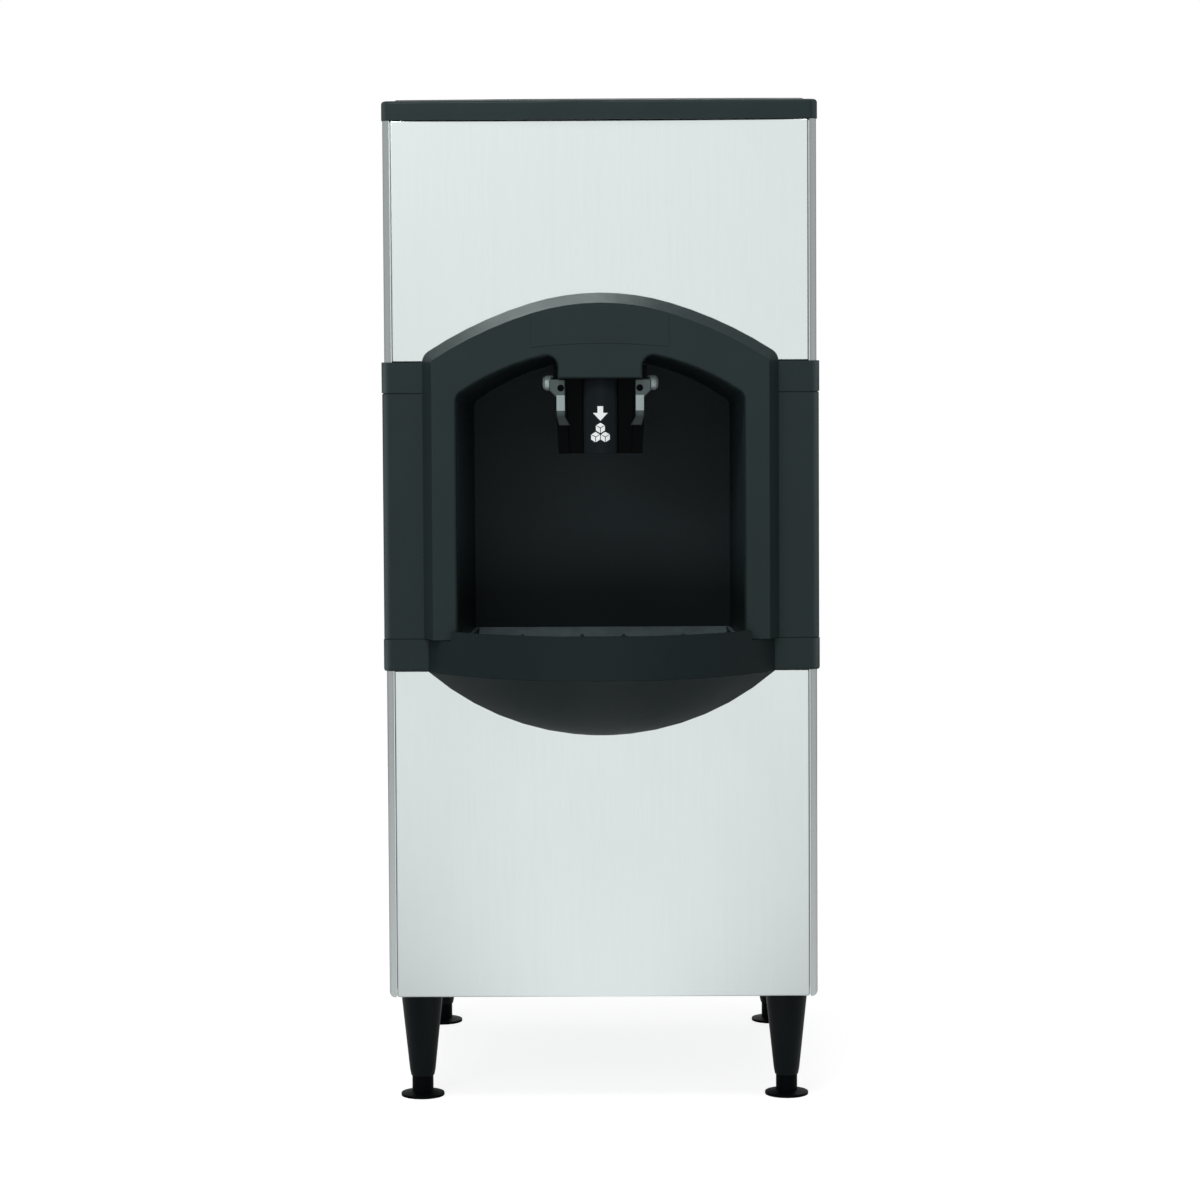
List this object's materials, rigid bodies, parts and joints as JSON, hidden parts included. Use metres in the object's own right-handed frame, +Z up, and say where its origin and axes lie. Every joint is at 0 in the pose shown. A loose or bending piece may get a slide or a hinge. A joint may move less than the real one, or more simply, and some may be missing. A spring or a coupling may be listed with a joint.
{
  "type": "ice dispenser",
  "caption": "Floor-standing stainless ice dispenser on adjustable legs, with a lidded bin, a paddle-wheel drive, a rocking push chute in an arched alcove and a bowed drip tray.",
  "frame": {"origin": "on the floor under the middle of the whole object", "axes": "+X to the viewer's right facing the front, +Y to the back, +Z up"},
  "size_m": [0.5588, 0.8, 1.3011],
  "materials": {
    "stainless": "fine vertical brushing, satin",
    "galvanised": "galvanised sheet",
    "dark_plastic": "charcoal moulded plastic, fine texture",
    "liner_plastic": "dark moulded plastic",
    "gloss_black": "gloss black",
    "grey_casting": "satin grey casting",
    "black_casting": "black coating",
    "bin_plastic": "white food-grade moulding",
    "white_nylon": "white nylon",
    "bronze": "sintered bush",
    "rubber": "soft black",
    "drain_plastic": "grey pipe",
    "motor_paint": "dark grey paint"
  },
  "bodies": {
    "cabinet": {"base_pan": "galvanised", "left_side_panel": "stainless", "right_side_panel": "stainless", "back_panel": "galvanised", "lower_front_panel": "stainless", "upper_front_panel": "stainless", "top_front_rail": "galvanised", "bin_rear_rail": "galvanised", "tie_rail": "galvanised", "tray_rail": "galvanised", "bin_cradle": "galvanised", "front_left_leg": "black_casting", "front_right_leg": "black_casting", "rear_left_leg": "black_casting", "rear_right_leg": "black_casting", "band": "dark_plastic", "bezel": "dark_plastic", "alcove_liner": "liner_plastic", "drip_tray": "dark_plastic", "tray_cowl": "dark_plastic", "sink_drain": "galvanised", "drain_pipe": "drain_plastic", "bin_drain_pipe": "drain_plastic", "drain_outlet": "drain_plastic", "ice_bin": "bin_plastic", "front_bearing": "bronze", "rear_bearing": "bronze", "drive_plate": "galvanised", "gearbox": "motor_paint", "drive_motor": "motor_paint", "ice_duct": "liner_plastic", "switch_bracket": "galvanised", "proximity_switch": "dark_plastic", "return_spring": "galvanised", "left_pivot_pin": "galvanised", "right_pivot_pin": "galvanised", "control_box": "dark_plastic", "power_inlet": "gloss_black", "left_hinge_leaf": "galvanised", "right_hinge_leaf": "galvanised", "left_hinge_pin": "galvanised", "right_hinge_pin": "galvanised"},
    "lid": {"lid": "dark_plastic", "lid_gasket": "rubber", "left_lid_leaf": "galvanised", "right_lid_leaf": "galvanised"},
    "chute": {"push_chute": "gloss_black", "chute_magnet": "galvanised", "left_chute_arm": "grey_casting", "right_chute_arm": "grey_casting", "left_arm_screw": "gloss_black", "right_arm_screw": "gloss_black"},
    "wheel": {"drive_shaft": "galvanised", "paddle_wheel": "white_nylon", "agitator": "galvanised"},
    "grille": {"drip_grille": "dark_plastic"},
    "front_left_foot": {"front_left_foot": "black_casting"},
    "front_right_foot": {"front_right_foot": "black_casting"},
    "rear_left_foot": {"rear_left_foot": "black_casting"},
    "rear_right_foot": {"rear_right_foot": "black_casting"}
  },
  "joints": [
    {"name": "lid_hinge", "type": "hinge", "parent": "cabinet", "child": "lid", "pos_m": [0, 0.396, 1.2741], "axis": [-1, 0, 0], "range_deg": [0, 95]},
    {"name": "chute_pivot", "type": "hinge", "parent": "cabinet", "child": "chute", "pos_m": [0, -0.25, 0.9398], "axis": [1, 0, 0], "range_deg": [0, 12], "stiffness_Nm_per_rad": 3, "springref_deg": -5.73, "deforming": ["return_spring"]},
    {"name": "wheel_spin", "type": "hinge", "parent": "cabinet", "child": "wheel", "pos_m": [0, -0.04, 0.8974], "axis": [0, 1, 0], "continuous": true},
    {"name": "grille_lift", "type": "slide", "parent": "cabinet", "child": "grille", "axis": [0, 0, 1], "range_m": [0, 0.06]},
    {"name": "front_left_foot_slide", "type": "slide", "parent": "cabinet", "child": "front_left_foot", "axis": [0, 0, -1], "range_m": [0, 0.025]},
    {"name": "front_right_foot_slide", "type": "slide", "parent": "cabinet", "child": "front_right_foot", "axis": [0, 0, -1], "range_m": [0, 0.025]},
    {"name": "rear_left_foot_slide", "type": "slide", "parent": "cabinet", "child": "rear_left_foot", "axis": [0, 0, -1], "range_m": [0, 0.025]},
    {"name": "rear_right_foot_slide", "type": "slide", "parent": "cabinet", "child": "rear_right_foot", "axis": [0, 0, -1], "range_m": [0, 0.025]}
  ]
}
